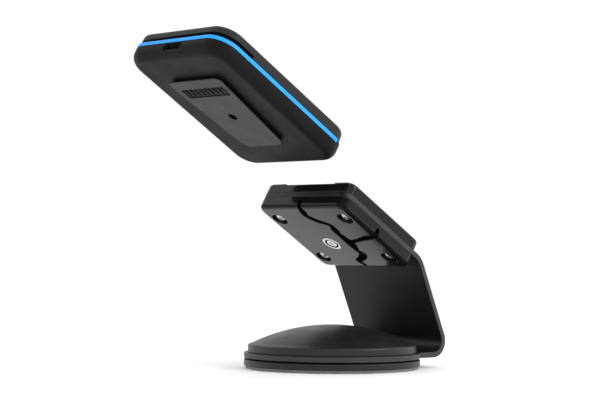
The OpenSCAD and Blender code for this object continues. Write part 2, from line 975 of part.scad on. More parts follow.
module antenna_board() {
    color([0.1, 0.3, 0.2])
        on_terminal()
            difference() {
                block(0, antenna_w, antenna_y, antenna_y + antenna_l, antenna_low, antenna_low + antenna_t);
                block(0, antenna_w - 2 * antenna_track, antenna_y + antenna_track,
                    antenna_y + antenna_l - antenna_track, antenna_low - 1, antenna_low + antenna_t + 1);
            }
}

module power_button() {
    face_x = case_w / 2 - top_inset;
    color([0.1, 0.1, 0.1])
        on_terminal()
            translate([face_x - button_depth, button_y, button_z])
                rotate([0, 90, 0]) {
                    linear_extrude(button_depth + button_proud)
                        pill(button_w, button_h);
                    linear_extrude(button_flange)
                        pill(button_w + 2 * button_flange, button_h + button_flange);
                }
}

module power_switch() {
    color([0.6, 0.6, 0.62])
        on_terminal()
            block(switch_x, switch_w, button_y - switch_w, button_y + switch_w,
                button_z - button_h / 2, button_z + button_h / 2);
}

// One key cap with the flange that keeps it in its hole
module key_cap(col, row, shade) {
    color(shade)
        on_terminal()
            translate([col * key_pitch_x, key_rows[row] - key_l / 2, 0]) {
                slab(key_w, key_l, key_corner, key_low, key_high);
                translate([0, -key_flange, 0])
                    slab(key_w + 2 * key_flange, key_l + 2 * key_flange, key_corner,
                        key_low, key_low + key_flange_t);
            }
}

number_shade = [0.28, 0.28, 0.29];

foot_pad();
base_disc();
swivel_bolt();
swivel_washer();
thrust_washer();
swivel_nut();
stand_plate();
dome_cover();
ballast_weight();
base_screws();
dock_tray();
channel_pads();
dock_cover();
dock_screws();
lock_housing();
lock_plug();
lock_cam();
lock_bolt();
case_back();
slide_plate();
plate_screws();
accent_band();
swipe_guide();
mag_head();
top_cover();
display_window();
display_module();
keypad_membrane();
main_board();
battery();
chip_reader();
port_board();
usb_connector();
speaker();
antenna_board();
power_button();
power_switch();
key_cap(-1, 0, number_shade);  // key_1
key_cap(0, 0, number_shade);  // key_2
key_cap(1, 0, number_shade);  // key_3
key_cap(-1, 1, number_shade);  // key_4
key_cap(0, 1, number_shade);  // key_5
key_cap(1, 1, number_shade);  // key_6
key_cap(-1, 2, number_shade);  // key_7
key_cap(0, 2, number_shade);  // key_8
key_cap(1, 2, number_shade);  // key_9
key_cap(-1, 3, number_shade);  // key_star
key_cap(0, 3, number_shade);  // key_0
key_cap(1, 3, number_shade);  // key_hash
key_cap(-1, 4, [0.75, 0.12, 0.1]);  // key_cancel
key_cap(0, 4, [0.85, 0.65, 0.1]);  // key_clear
key_cap(1, 4, [0.1, 0.55, 0.2]);  // key_enter
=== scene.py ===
"""Card payment terminal above its locking slide dock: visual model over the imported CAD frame."""
import json
import math

import bmesh
import bpy
from mathutils import Matrix, Vector


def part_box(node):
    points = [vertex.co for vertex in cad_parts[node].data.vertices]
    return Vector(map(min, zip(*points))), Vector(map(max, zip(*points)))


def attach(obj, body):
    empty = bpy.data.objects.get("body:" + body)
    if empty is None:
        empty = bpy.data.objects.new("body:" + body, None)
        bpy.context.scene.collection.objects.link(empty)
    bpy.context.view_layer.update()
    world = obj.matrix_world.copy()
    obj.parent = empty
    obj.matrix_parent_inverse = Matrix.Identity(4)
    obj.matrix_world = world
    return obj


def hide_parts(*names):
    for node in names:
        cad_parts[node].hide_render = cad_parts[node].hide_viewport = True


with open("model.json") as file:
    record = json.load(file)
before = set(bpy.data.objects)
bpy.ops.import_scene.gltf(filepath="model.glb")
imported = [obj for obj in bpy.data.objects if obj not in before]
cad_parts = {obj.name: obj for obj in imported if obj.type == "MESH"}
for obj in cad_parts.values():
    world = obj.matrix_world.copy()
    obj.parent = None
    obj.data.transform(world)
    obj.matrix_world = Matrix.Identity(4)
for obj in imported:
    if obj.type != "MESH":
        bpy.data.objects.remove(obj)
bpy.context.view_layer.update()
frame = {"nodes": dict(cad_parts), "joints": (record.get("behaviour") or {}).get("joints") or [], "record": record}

MM = 0.001
SHARP = math.radians(32)

# ---------------------------------------------------------------- frames
# Dock frame and terminal frame in millimetres: x across, y up the slope, z square to the head plate.

JOINT = {j["name"]: j for j in frame["joints"]}
ACROSS = Vector((1, 0, 0))
ALONG = Vector(JOINT["terminal_slide"]["axis"]).normalized()
SQUARE = Vector(JOINT["bolt_lift"]["axis"]).normalized()
TURN = Matrix((ACROSS, ALONG, SQUARE)).transposed()
BACK = TURN.transposed()


def local_points(node):
    """The node's vertices as (x, along, square) in millimetres, from the row's origin."""
    return [BACK @ v.co / MM for v in frame["nodes"][node].data.vertices]


def lowest(node, axis):
    return min(p[axis] for p in local_points(node))


DOCK = TURN @ Vector((0, lowest("dock_cover", 1), lowest("dock_tray", 2)))
TERMINAL = TURN @ Vector((0, lowest("case_back", 1), lowest("accent_band", 2)))


def frame_matrix(origin=None):
    """Matrix from a local frame in millimetres to metres; without an origin, the row's own frame."""
    if origin is None:
        return Matrix.Scale(MM, 4)
    return Matrix.Scale(MM, 4) @ (Matrix.Translation(origin) @ TURN.to_4x4())


def box_in(node, origin):
    """(low corner, high corner) of a node in the dock or terminal frame, in millimetres."""
    points = [BACK @ (v.co / MM - origin) for v in frame["nodes"][node].data.vertices]
    return (Vector(min(p[i] for p in points) for i in range(3)),
            Vector(max(p[i] for p in points) for i in range(3)))


def box_mm(node):
    lo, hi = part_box(node)
    return lo / MM, hi / MM


# ---------------------------------------------------------------- mesh helpers

def rounded_rect(width, length, r, y0=0.0, inset=0.0, steps=10):
    """Outline centred on x, from y0 to y0 + length, pulled in by inset."""
    w, l, r = width / 2 - inset, length - 2 * inset, max(r - inset, 0.15)
    y0 = y0 + inset
    corners = ((w - r, y0 + r, -90), (w - r, y0 + l - r, 0), (r - w, y0 + l - r, 90), (r - w, y0 + r, 180))
    outline = []
    for cx, cy, start in corners:
        turns = [math.radians(start + 90 * i / steps) for i in range(steps + 1)]
        outline += [(cx + r * math.cos(a), cy + r * math.sin(a)) for a in turns]
    return outline


def edge_profile(low, high, low_round, high_round, steps=6):
    """(inset, height) pairs up the side of a plate whose two edges are rounded."""
    pairs = []
    for i in range(steps + 1):
        a = math.pi / 2 * i / steps
        pairs.append((low_round * (1 - math.sin(a)), low + low_round * (1 - math.cos(a))))
    for i in range(steps + 1):
        a = math.pi / 2 * i / steps
        pairs.append((high_round * (1 - math.cos(a)), high - high_round * (1 - math.sin(a))))
    return pairs


def loft(rings, capped=True, closed=False):
    """bmesh of quads through rings that have the same number of points."""
    bm = bmesh.new()
    rows = [[bm.verts.new(p) for p in ring] for ring in rings]
    count = len(rows[0])
    pairs = list(zip(rows, rows[1:])) + ([(rows[-1], rows[0])] if closed else [])
    for a, b in pairs:
        for i in range(count):
            j = (i + 1) % count
            bm.faces.new((a[i], a[j], b[j], b[i]))
    if capped and not closed:
        bm.faces.new(rows[0])
        bm.faces.new(rows[-1])
    bmesh.ops.remove_doubles(bm, verts=bm.verts, dist=1e-4)
    bmesh.ops.recalc_face_normals(bm, faces=bm.faces)
    return bm


def plate(outline, profile):
    """Solid whose outline(inset) is pulled in along the (inset, height) profile."""
    return loft([[(x, y, z) for x, y in outline(inset)] for inset, z in profile])


def lathe(profile, centre=(0, 0), steps=96):
    """Solid of revolution from (radius, height) pairs."""
    rings = []
    turns = [2 * math.pi * i / steps for i in range(steps)]
    for r, z in profile:
        r = max(r, 1e-3)
        rings.append([(centre[0] + r * math.cos(a), centre[1] + r * math.sin(a), z) for a in turns])
    return loft(rings)


def prism(outline, low, high):
    return loft([[(x, y, low) for x, y in outline], [(x, y, high) for x, y in outline]])


def block(x, width, y0, y1, low, high):
    """Plain cutter, centred on x."""
    a, b = x - width / 2, x + width / 2
    return prism([(a, y0), (b, y0), (b, y1), (a, y1)], low, high)


def arc(centre, r, start, end, steps):
    turns = [math.radians(start + (end - start) * i / steps) for i in range(steps + 1)]
    return [(centre[0] + r * math.cos(a), centre[1] + r * math.sin(a)) for a in turns]


def curve_value(a, b, c, d, t):
    """Catmull-Rom value at t on the way from b to c."""
    square, cube = 2 * a - 5 * b + 4 * c - d, 3 * b - a - 3 * c + d
    return 0.5 * (2 * b + (c - a) * t + square * t * t + cube * t ** 3)


def smooth_route(points, steps=8):
    """Catmull-Rom curve through given points, which may carry a width as a third number."""
    ends = [tuple(2 * a - b for a, b in zip(points[0], points[1]))] + list(points)
    ends.append(tuple(2 * a - b for a, b in zip(points[-1], points[-2])))
    out = []
    for p0, p1, p2, p3 in zip(ends, ends[1:], ends[2:], ends[3:]):
        for i in range(steps):
            out.append(tuple(curve_value(*four, i / steps) for four in zip(p0, p1, p2, p3)))
    return out + [tuple(points[-1])]


def channel_cutter(route, floor, mouth, flare, past):
    """Cutter along a route of (x, y, width): square floor, sides, and a mouth that flares outwards."""
    rings = []
    for i, (x, y, width) in enumerate(route):
        a, b = route[max(i - 1, 0)], route[min(i + 1, len(route) - 1)]
        side = Vector((b[1] - a[1], a[0] - b[0])).normalized()
        half = width / 2
        corner = 0.5
        section = [(-half + corner, floor), (-half, floor - corner), (-half, mouth + flare)]
        section += [(-half - flare * (1 - math.cos(t)), mouth + flare * (1 - math.sin(t)))
                    for t in (0.5, 1.0, 1.57)]
        section += [(-half - flare, past)]
        section = section + [(-s, z) for s, z in reversed(section)]
        rings.append([(x + side.x * s, y + side.y * s, z) for s, z in section])
    return loft(rings)


def to_object(bm, name, matrix):
    mesh = bpy.data.meshes.new(name)
    bm.to_mesh(mesh)
    bm.free()
    mesh.transform(matrix)
    obj = bpy.data.objects.new(name, mesh)
    bpy.context.scene.collection.objects.link(obj)
    return obj


def combine(base, cutters=(), extra=(), shared=None, folded=False):
    """base with cutters taken away and extra solids joined on, by exact booleans.

    folded says that a cutter may cross itself.
    """
    plain = Matrix.Identity(4)
    work = to_object(base, "work", plain)
    steps = [(c, "DIFFERENCE") for c in cutters] + [(e, "UNION") for e in extra]
    if shared is not None:
        steps.append((shared, "INTERSECT"))
    for tool_mesh, operation in steps:
        tool = to_object(tool_mesh, "tool", plain)
        modifier = work.modifiers.new("cut", "BOOLEAN")
        modifier.operation, modifier.solver, modifier.object = operation, "EXACT", tool
        modifier.use_self = folded
        bpy.context.view_layer.update()
        done = bpy.data.meshes.new_from_object(work.evaluated_get(bpy.context.evaluated_depsgraph_get()))
        work.modifiers.clear()
        work.data = done
        bpy.data.objects.remove(tool)
    bm = bmesh.new()
    bm.from_mesh(work.data)
    bpy.data.objects.remove(work)
    bmesh.ops.remove_doubles(bm, verts=bm.verts, dist=2e-3)
    bmesh.ops.dissolve_degenerate(bm, edges=bm.edges, dist=1e-3)
    return bm


def finish_shading(obj, bevel=0.0, segments=2):
    """Smooth faces, edges kept sharp by angle, and small rounded edges where bevel is given (mm)."""
    bm = bmesh.new()
    bm.from_mesh(obj.data)
    for face in bm.faces:
        face.smooth = True
    for edge in bm.edges:
        edge.smooth = not (len(edge.link_faces) == 2 and edge.calc_face_angle(0) > SHARP)
    bm.to_mesh(obj.data)
    bm.free()
    if bevel:
        rounding = obj.modifiers.new("edges", "BEVEL")
        rounding.width, rounding.segments = bevel * MM, segments
        rounding.limit_method, rounding.angle_limit = "ANGLE", SHARP
        rounding.use_clamp_overlap = True
        rounding.harden_normals = False
    weighted = obj.modifiers.new("normals", "WEIGHTED_NORMAL")
    weighted.keep_sharp = not bevel
    return obj


def by_face(obj, choose):
    """Material index of each face from its centre in millimetres and its normal."""
    for face in obj.data.polygons:
        face.material_index = choose(face.center / MM, face.normal)


def piece(bm, name, origin, body, material, replaces=(), bevel=0.0, segments=2):
    obj = to_object(bm, name, frame_matrix(origin))
    finish_shading(obj, bevel, segments)
    for m in (material if isinstance(material, (list, tuple)) else [material]):
        obj.data.materials.append(m)
    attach(obj, body)
    if replaces:
        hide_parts(*replaces)
    return obj


# ---------------------------------------------------------------- materials

def grey(level):
    return (level, level, level)


# Sizes on the object in millimetres: broad mottling, slow ripples, worn patches, and how far wear reaches
BROAD_GRAIN, RIPPLE_GRAIN, WEAR_GRAIN, WEAR_REACH = 14, 9, 2.5, 0.5


def material(name, base, rough, metal=0.0, specular=0.5, grain=0.6, grain_depth=0.01, mottle=0.12,
             rough_spread=0.06, wear=0.0, wear_colour=(0.2, 0.2, 0.2), stretch=(1, 1, 1), coat=0.0,
             coat_rough=0.1, sheen=0.0, ripple=0.0, subsurface=0.0, emission=0.0):
    """Procedural finish. Lengths are millimetres on the object: grain is the size of the surface grain."""
    mat = bpy.data.materials.new(name)
    mat.use_nodes = True
    nodes, links = mat.node_tree.nodes, mat.node_tree.links
    nodes.clear()
    out = nodes.new("ShaderNodeOutputMaterial")
    shader = nodes.new("ShaderNodeBsdfPrincipled")
    links.new(shader.outputs["BSDF"], out.inputs["Surface"])
    for socket, value in (("Metallic", metal), ("Specular IOR Level", specular), ("Coat Weight", coat),
                          ("Coat Roughness", coat_rough), ("Sheen Weight", sheen),
                          ("Subsurface Weight", subsurface), ("Emission Strength", emission)):
        shader.inputs[socket].default_value = value
    if emission:
        shader.inputs["Emission Color"].default_value = (*base, 1)
    if subsurface:
        shader.inputs["Subsurface Radius"].default_value = (0.001, 0.001, 0.001)

    place = nodes.new("ShaderNodeTexCoord")
    scaled = nodes.new("ShaderNodeMapping")
    scaled.inputs["Scale"].default_value = tuple(s / MM for s in stretch)
    links.new(place.outputs["Object"], scaled.inputs["Vector"])

    def noise(size, detail, roughness=0.55):
        node = nodes.new("ShaderNodeTexNoise")
        node.inputs["Scale"].default_value = 1 / size
        node.inputs["Detail"].default_value = detail
        node.inputs["Roughness"].default_value = roughness
        links.new(scaled.outputs["Vector"], node.inputs["Vector"])
        return node.outputs["Fac"]

    def remap(source, low, high, start=0.3, end=0.7):
        node = nodes.new("ShaderNodeMapRange")
        for socket, value in (("From Min", start), ("From Max", end), ("To Min", low), ("To Max", high)):
            node.inputs[socket].default_value = value
        links.new(source, node.inputs["Value"])
        return node.outputs["Result"]

    def mix(factor, a, b):
        node = nodes.new("ShaderNodeMix")
        node.data_type = "RGBA"
        links.new(factor, node.inputs[0])
        for index, value in ((6, a), (7, b)):
            if isinstance(value, tuple):
                node.inputs[index].default_value = (*value, 1)
            else:
                links.new(value, node.inputs[index])
        return node.outputs[2]

    broad = noise(BROAD_GRAIN, 4)
    fine = noise(grain, 3)
    darker = tuple(c * (1 - mottle) for c in base)
    lighter = tuple(min(1, c * (1 + mottle)) for c in base)
    colour = mix(remap(broad, 0, 1), darker, lighter)
    roughness = remap(broad, rough - rough_spread, rough + rough_spread)
    bump = nodes.new("ShaderNodeBump")
    bump.inputs["Strength"].default_value = 1
    bump.inputs["Distance"].default_value = grain_depth * MM
    links.new(fine, bump.inputs["Height"])
    normal = bump.outputs["Normal"]
    if ripple:
        waves = nodes.new("ShaderNodeBump")
        waves.inputs["Strength"].default_value = 1
        waves.inputs["Distance"].default_value = ripple * MM
        links.new(noise(RIPPLE_GRAIN, 1), waves.inputs["Height"])
        links.new(waves.outputs["Normal"], bump.inputs["Normal"])
    if wear:
        rounded = nodes.new("ShaderNodeBevel")
        rounded.samples = 4
        rounded.inputs["Radius"].default_value = WEAR_REACH * MM
        here = nodes.new("ShaderNodeNewGeometry")
        dot = nodes.new("ShaderNodeVectorMath")
        dot.operation = "DOT_PRODUCT"
        links.new(rounded.outputs["Normal"], dot.inputs[0])
        links.new(here.outputs["Normal"], dot.inputs[1])
        edge = remap(dot.outputs["Value"], wear, 0, 0.86, 0.995)
        patchy = nodes.new("ShaderNodeMath")
        patchy.operation = "MULTIPLY"
        links.new(edge, patchy.inputs[0])
        links.new(remap(noise(WEAR_GRAIN, 4), 0.1, 1), patchy.inputs[1])
        colour = mix(patchy.outputs["Value"], colour, wear_colour)
    links.new(colour, shader.inputs["Base Color"])
    links.new(roughness, shader.inputs["Roughness"])
    links.new(normal, shader.inputs["Normal"])
    return mat


def key_finish(name, base, rough, worn):
    return material(name, base, rough, grain=0.4, grain_depth=0.008, mottle=0.08, wear=0.4, wear_colour=worn)


M = {
    "plate_steel": material("powder_coated_plate", grey(0.006), 0.4, specular=0.3, grain=0.7,
                            grain_depth=0.012, wear=0.35, wear_colour=grey(0.03)),
    # Painted highlight: the plate's edges get a lighter copy of the powder coat, for the light they reflect
    "plate_edge": material("powder_coat_edge_painted_highlight", grey(0.03), 0.5, specular=0.35, grain=0.5,
                           grain_depth=0.014, wear=0.4, wear_colour=grey(0.07)),
    "base_steel": material("powder_coated_base", grey(0.012), 0.42, specular=0.3, grain=0.7,
                           grain_depth=0.012, wear=0.45, wear_colour=grey(0.05)),
    "dome_plastic": material("dome_moulded_plastic", grey(0.008), 0.42, specular=0.38, grain=0.55,
                             grain_depth=0.01, wear=0.25, wear_colour=grey(0.03)),
    "foot_pad": material("foot_rubber", grey(0.2), 0.7, grain=0.5, grain_depth=0.02, mottle=0.2),
    "dock_plastic": material("dock_gloss_plastic", grey(0.005), 0.1, specular=0.26, grain=0.8,
                             grain_depth=0.001, ripple=0.012, rough_spread=0.03, wear=0.3,
                             wear_colour=grey(0.03)),
    # Painted shade: a darker, duller copy of the dock plastic for the channel floors and sides and the lock plug's
    # groove, where shade falls
    "well": material("dock_recess_painted_shade", grey(0.002), 0.5, specular=0.1, grain=0.6),
    "case_plastic": material("case_soft_touch_plastic", grey(0.006), 0.5, specular=0.1, grain=0.5,
                             grain_depth=0.01, wear=0.22, wear_colour=grey(0.03), mottle=0.08),
    # Painted light: the top cover is the back's soft-touch plastic, painted lighter and given a higher specular
    # level for the light falling on the upper side
    "case_top": material("case_top_soft_touch_painted_light", grey(0.016), 0.48, specular=0.2, grain=0.5, grain_depth=0.01,
                         wear=0.22, wear_colour=grey(0.04), mottle=0.08),
    "slide_metal": material("slide_plate_coated_zinc", grey(0.026), 0.48, specular=0.25, grain=0.6,
                            grain_depth=0.012, wear=0.5, wear_colour=grey(0.13), mottle=0.08),
    # Painted shade: a near-black copy of the plate's finish for its undercut sides, hole and label recess, where
    # shade falls
    "slide_side": material("slide_plate_shaded_side", grey(0.004), 0.5, specular=0.12, grain=0.6,
                           grain_depth=0.01, wear=0.3, wear_colour=grey(0.03)),
    "accent_blue": material("band_blue", (0.012, 0.35, 0.97), 0.42, specular=0.3, grain=0.5,
                            grain_depth=0.004, mottle=0.05, subsurface=0.1),
    "guide_plastic": material("slot_dark_plastic", (0.003, 0.006, 0.014), 0.4, specular=0.3, grain=0.5,
                              grain_depth=0.01),
    "stainless": material("stainless_machined", (0.62, 0.61, 0.6), 0.24, metal=1, grain=0.4,
                          grain_depth=0.004, rough_spread=0.08, stretch=(0.3, 2.5, 1)),
    "zinc_steel": material("zinc_plated_steel", (0.5, 0.5, 0.52), 0.35, metal=1, grain=0.5,
                           grain_depth=0.004),
    "brass": material("brass_cam", (0.6, 0.45, 0.18), 0.3, metal=1, grain=0.5, grain_depth=0.004),
    "nylon": material("nylon_washer", grey(0.03), 0.5, grain=0.5),
    "ballast": material("cast_iron_weight", grey(0.1), 0.7, metal=0.6, grain=1.2, grain_depth=0.05),
    "pad_strip": material("low_friction_strip", grey(0.05), 0.35, grain=0.6, grain_depth=0.01),
    "window_glass": material("window_glass", grey(0.004), 0.05, grain=3, grain_depth=0.0005,
                             rough_spread=0.02),
    "screen": material("screen_panel", (0.42, 0.5, 0.52), 0.22, grain=0.4, grain_depth=0.001, mottle=0.05,
                       emission=0.12),
    "screen_ink": material("screen_ink", (0.012, 0.018, 0.022), 0.35, grain=0.3, grain_depth=0.001,
                           mottle=0.04),
    "silicone": material("silicone_membrane", grey(0.12), 0.6, grain=0.6),
    "board": material("circuit_board", (0.01, 0.07, 0.03), 0.4, grain=1.5, grain_depth=0.02, mottle=0.4),
    "cell": material("battery_wrap", grey(0.08), 0.4, grain=0.8),
    # Painted shade: a dark, non-metal stand-in for the port's nickel, for the shade inside the port
    "port_dark": material("port_nickel_painted_shade", grey(0.01), 0.5, specular=0.2, grain=0.4, grain_depth=0.003),
    "port_metal": material("port_nickel", grey(0.55), 0.3, metal=1, grain=0.4, grain_depth=0.003),
    "key_plastic": key_finish("key_grey", grey(0.05), 0.42, grey(0.12)),
    "key_red": key_finish("key_red", (0.45, 0.02, 0.015), 0.4, (0.6, 0.1, 0.08)),
    "key_yellow": key_finish("key_yellow", (0.7, 0.42, 0.02), 0.4, (0.8, 0.6, 0.2)),
    "key_green": key_finish("key_green", (0.015, 0.25, 0.05), 0.4, (0.1, 0.4, 0.15)),
    "button_plastic": material("button_black", grey(0.015), 0.35, grain=0.4, grain_depth=0.008, wear=0.4,
                               wear_colour=grey(0.06)),
    "legend": material("legend_white", grey(0.75), 0.5, grain=0.3, grain_depth=0.003, mottle=0.04),
    "lamp_green": material("lamp_green", (0.03, 0.6, 0.1), 0.2, grain=0.4, grain_depth=0.001, mottle=0.1,
                           emission=0.6),
    "lamp_off": material("lamp_off", (0.02, 0.05, 0.025), 0.2, grain=0.4, grain_depth=0.001, mottle=0.1),
}

# ---------------------------------------------------------------- carried-over nodes

for node_name, node in frame["nodes"].items():
    for place_in_list, old in enumerate(list(node.data.materials)):
        key = old.name.split(".")[0]
        if key in M:
            node.material_slots[place_in_list].material = M[key]
# The connector gets the painted-shade finish in place of nickel, so the inside of the port reads dark
frame["nodes"]["usb_connector"].material_slots[0].material = M["port_dark"]
for node_name in ("swivel_washer", "channel_pads", "lock_cam", "lock_bolt", "swipe_guide", "mag_head",
                  "chip_reader", "usb_connector", "display_module"):
    carried = frame["nodes"][node_name]
    joined = carried.modifiers.new("join", "WELD")
    joined.merge_threshold = 1e-6
    rounding = carried.modifiers.new("edges", "BEVEL")
    rounding.width, rounding.segments = 0.12 * MM, 2
    rounding.limit_method, rounding.angle_limit = "ANGLE", SHARP
    carried.modifiers.new("normals", "WEIGHTED_NORMAL").keep_sharp = True

# ---------------------------------------------------------------- base and stand

PLATE_LOW = box_mm("swivel_washer")[1].z + 0.05
PLATE_TOP = box_mm("dome_cover")[0].z
PLATE_T = PLATE_TOP - PLATE_LOW
BASE_R = box_mm("base_disc")[1].x
TILT = math.degrees(math.atan2(ALONG.z, ALONG.y))
LEAN = 23.9
BEND_LOW_R, BEND_HIGH_R = 8, 14
EDGE = 0.55
ROUND_STEPS = 192

pad_hi = box_mm("foot_pad")[1]
PAD_R, PAD_RECESS = pad_hi.x, 0.25
pad_profile = [(0, PAD_RECESS), (PAD_R - 6, PAD_RECESS), (PAD_R - 5.4, 0), (PAD_R - 0.9, 0),
               (PAD_R - 0.3, 0.25), (PAD_R, 0.8), (PAD_R, pad_hi.z), (0, pad_hi.z)]
piece(lathe(pad_profile, steps=160), "foot_pad_skin", None, "base", M["foot_pad"], ["foot_pad"])

disc_lo, disc_hi = box_mm("base_disc")
disc_profile = [(BASE_R - i, z) for i, z in edge_profile(disc_lo.z, disc_hi.z, 0.6, 0.6, 4)]
piece(lathe([(0, disc_lo.z)] + disc_profile + [(0, disc_hi.z)], steps=ROUND_STEPS),
      "base_disc_skin", None, "base", M["base_steel"], ["base_disc"])

head_up = Vector((SQUARE.y, SQUARE.z))
head_dir = Vector((ALONG.y, ALONG.z))
head_origin = Vector((DOCK.y, DOCK.z))
high_turn = 90 - LEAN - TILT
high_tangent = BEND_HIGH_R * math.tan(math.radians(high_turn / 2))
low_tangent = BEND_LOW_R * math.tan(math.radians((90 + LEAN) / 2))
high_corner = head_origin - PLATE_T * head_up - high_tangent * head_dir
up_dir = Vector((math.sin(math.radians(LEAN)), math.cos(math.radians(LEAN))))
low_corner = high_corner - up_dir * ((high_corner.y - PLATE_TOP) / up_dir.y)
low_centre = (low_corner.x + low_tangent, PLATE_TOP + BEND_LOW_R)
high_centre = head_origin - (BEND_HIGH_R + PLATE_T) * head_up
cover_lo, cover_hi = box_in("dock_cover", DOCK)
DOCK_W, DOCK_L, DOCK_R = cover_hi.x - cover_lo.x, cover_hi.y, 7.3


def dock_outline(inset):
    return rounded_rect(DOCK_W, DOCK_L, DOCK_R, inset=inset)


def strip_rings():
    """Rings of the bent strip: a thin rounded section carried along the inner face."""
    path = [((0, PLATE_TOP), 270)]
    bends = ((low_centre, BEND_LOW_R, 270, 180 - LEAN, 20),
             (high_centre, BEND_HIGH_R, 180 - LEAN, 90 + TILT, 14))
    for centre, r, start, end, steps in bends:
        angles = [start + (end - start) * i / steps for i in range(steps + 1)]
        path += zip(arc(centre, r, start, end, steps), angles)
    end = head_origin + head_dir * DOCK_L / 2 - head_up * PLATE_T
    path.append(((end.x, end.y), 90 + TILT))
    section = rounded_rect(DOCK_W, PLATE_T, EDGE, steps=3)
    rings = []
    for (y, z), angle in path:
        out_y, out_z = math.cos(math.radians(angle)), math.sin(math.radians(angle))
        rings.append([(x, y + t * out_y, z + t * out_z) for x, t in section])
    return rings


foot_profile = [(BASE_R - i, z) for i, z in edge_profile(PLATE_LOW, PLATE_TOP, EDGE, EDGE, 4)]
foot = lathe([(0, PLATE_LOW)] + foot_profile + [(0, PLATE_TOP)], steps=ROUND_STEPS)
head_slab = plate(dock_outline, edge_profile(-PLATE_T, 0, 0.35, 0.35, 3))
head_slab.transform(Matrix.Translation(DOCK) @ TURN.to_4x4())
# The second material is the painted highlight on the plate's edge faces
stand_skin = piece(combine(foot, extra=[loft(strip_rings()), head_slab]), "stand_plate_skin", None, "stand",
                   [M["plate_steel"], M["plate_edge"]], ["stand_plate"])


def painted_highlight_faces(centre, normal):
    """The plate's cut edge, which takes the lighter finish as a painted highlight: the foot's rim and the strip's
    two sides.
    """
    on_rim = math.hypot(centre.x, centre.y) > BASE_R - 0.3 and centre.z < PLATE_TOP + 0.1
    upright = abs(normal.z) < 0.6 and abs(normal.dot(SQUARE)) < 0.6
    return int(on_rim and upright or abs(normal.x) > 0.75)


by_face(stand_skin, painted_highlight_faces)

dome_lo, dome_hi = box_mm("dome_cover")
DOME_R, DOME_TOP, DOME_SPHERE, DOME_ROUND = dome_hi.x, dome_hi.z, 132, 1.8
sphere_z = DOME_TOP - DOME_SPHERE
shoulder_z = sphere_z + math.sqrt(DOME_SPHERE ** 2 - (DOME_R - DOME_ROUND) ** 2)
slope = math.degrees(math.asin((DOME_R - DOME_ROUND) / DOME_SPHERE))
dome_profile = [(0, dome_lo.z), (DOME_R - 0.4, dome_lo.z), (DOME_R, dome_lo.z + 0.4)]
round_centre = (DOME_R - DOME_ROUND, shoulder_z - DOME_ROUND * math.cos(math.radians(slope)))
dome_profile += arc(round_centre, DOME_ROUND, 0, 90 - slope, 8)
turn_angle = math.degrees(math.asin(dome_profile[-1][0] / DOME_SPHERE))
dome_profile += arc((0, sphere_z), DOME_SPHERE, 90 - turn_angle, 90, 24)[1:]
piece(lathe(dome_profile, steps=ROUND_STEPS), "dome_skin", None, "stand", M["dome_plastic"], ["dome_cover"])

# ---------------------------------------------------------------- dock

FACE = cover_lo.z
CHANNEL_DEPTH, CHANNEL_FLARE = 4, 0.45
CUT_PAST = 2  # how far a cutter runs past the face it opens
MAIN_ROUTE = [(0, DOCK_L + 3, 4), (0, DOCK_L - 2.4, 4), (0.2, 77, 5.6), (1.8, 73, 5.2), (1, 69, 5.4),
              (-3.2, 64.2, 5.2), (-7.8, 61.2, 4.4), (-11.4, 58.4, 4.2), (-12, 55.2, 4.4), (-10.9, 51, 6.6),
              (-10.2, 47, 5.2), (-11, 41, 6.8), (-11.4, 33, 8.4), (-10.6, 28, 6.2), (-10, 23.2, 4),
              (-11.4, 18.6, 6.4), (-6, 13, 5.6), (0.4, 9.4, 4.6), (-0.8, 4, 3.4), (-1, -3, 3)]
BRANCH_ROUTE = [(-12, 35, 5), (-19.8, 37, 3.8), (-25, 38.4, 3.8), (-31.6, 40.4, 5.2), (-38.5, 41.8, 5.2),
                (-44, 42.6, 4), (-DOCK_W / 2 - 3, 43.4, 4)]
NOTCH_TOP, NOTCH_IN, NOTCH_HALF = -PLATE_T - 2.2, 5, 2
PAST_SIDE = 3  # how far a notch cutter runs out of the cover's side
SCREW_HEAD_R, SCREW_HEAD_H = 4.7, 2.8
screws_lo, screws_hi = box_in("dock_screws", DOCK)
SCREW_X = screws_hi.x - SCREW_HEAD_R
SCREW_Y = (screws_lo.y + SCREW_HEAD_R, screws_hi.y - SCREW_HEAD_R)
SCREWS = [(x, y) for x in (-SCREW_X, SCREW_X) for y in SCREW_Y]
lock_lo, lock_hi = box_in("lock_housing", DOCK)
LOCK = ((lock_lo.x + lock_hi.x) / 2, (lock_lo.y + lock_hi.y) / 2)
LOCK_R = (lock_hi.x - lock_lo.x) / 2
WELL_R, WELL_DEPTH = 6, 3.6

cover_body = plate(dock_outline, edge_profile(FACE, -PLATE_T, 3.2, 0.3, 7))
cutters = [channel_cutter(smooth_route(route), FACE + CHANNEL_DEPTH, FACE, CHANNEL_FLARE, FACE - CUT_PAST)
           for route in (MAIN_ROUTE, BRANCH_ROUTE)]
notch = [(-NOTCH_HALF, FACE - CUT_PAST), (-NOTCH_HALF, NOTCH_TOP - NOTCH_HALF)]
notch += arc((0, NOTCH_TOP - NOTCH_HALF), NOTCH_HALF, 180, 0, 10)
notch += [(NOTCH_HALF, NOTCH_TOP - NOTCH_HALF), (NOTCH_HALF, FACE - CUT_PAST)]
cutters.append(loft([[(a, y, b) for a, b in notch] for y in (DOCK_L - NOTCH_IN, DOCK_L + PAST_SIDE)]))
cutters.append(loft([[(x, BRANCH_ROUTE[-1][1] + a, b) for a, b in notch]
                     for x in (-DOCK_W / 2 - PAST_SIDE, NOTCH_IN - DOCK_W / 2)]))


